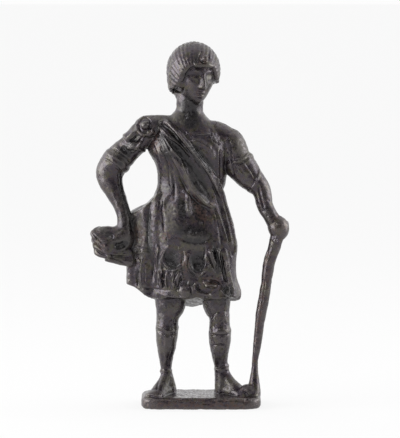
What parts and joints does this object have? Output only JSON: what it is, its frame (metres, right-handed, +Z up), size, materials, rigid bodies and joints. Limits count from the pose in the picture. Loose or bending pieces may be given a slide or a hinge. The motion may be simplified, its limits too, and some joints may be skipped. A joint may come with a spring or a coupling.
{
  "type": "warrior figure",
  "caption": "Small cast bronze figure of a standing warrior in a pleated tunic and cloak, one hand on the hip and the other on a staff, on a thin plate.",
  "frame": {"origin": "middle of the base plate's flat underside", "axes": "+Z up, -Y the way the figure faces, +X the figure's own left, where the staff stands"},
  "size_m": [0.065, 0.0226, 0.1204],
  "materials": {
    "bronze": "cast bronze with a dark brown patina, semi-gloss"
  },
  "bodies": {
    "root": {"warrior_figure": "bronze"}
  },
  "joints": []
}
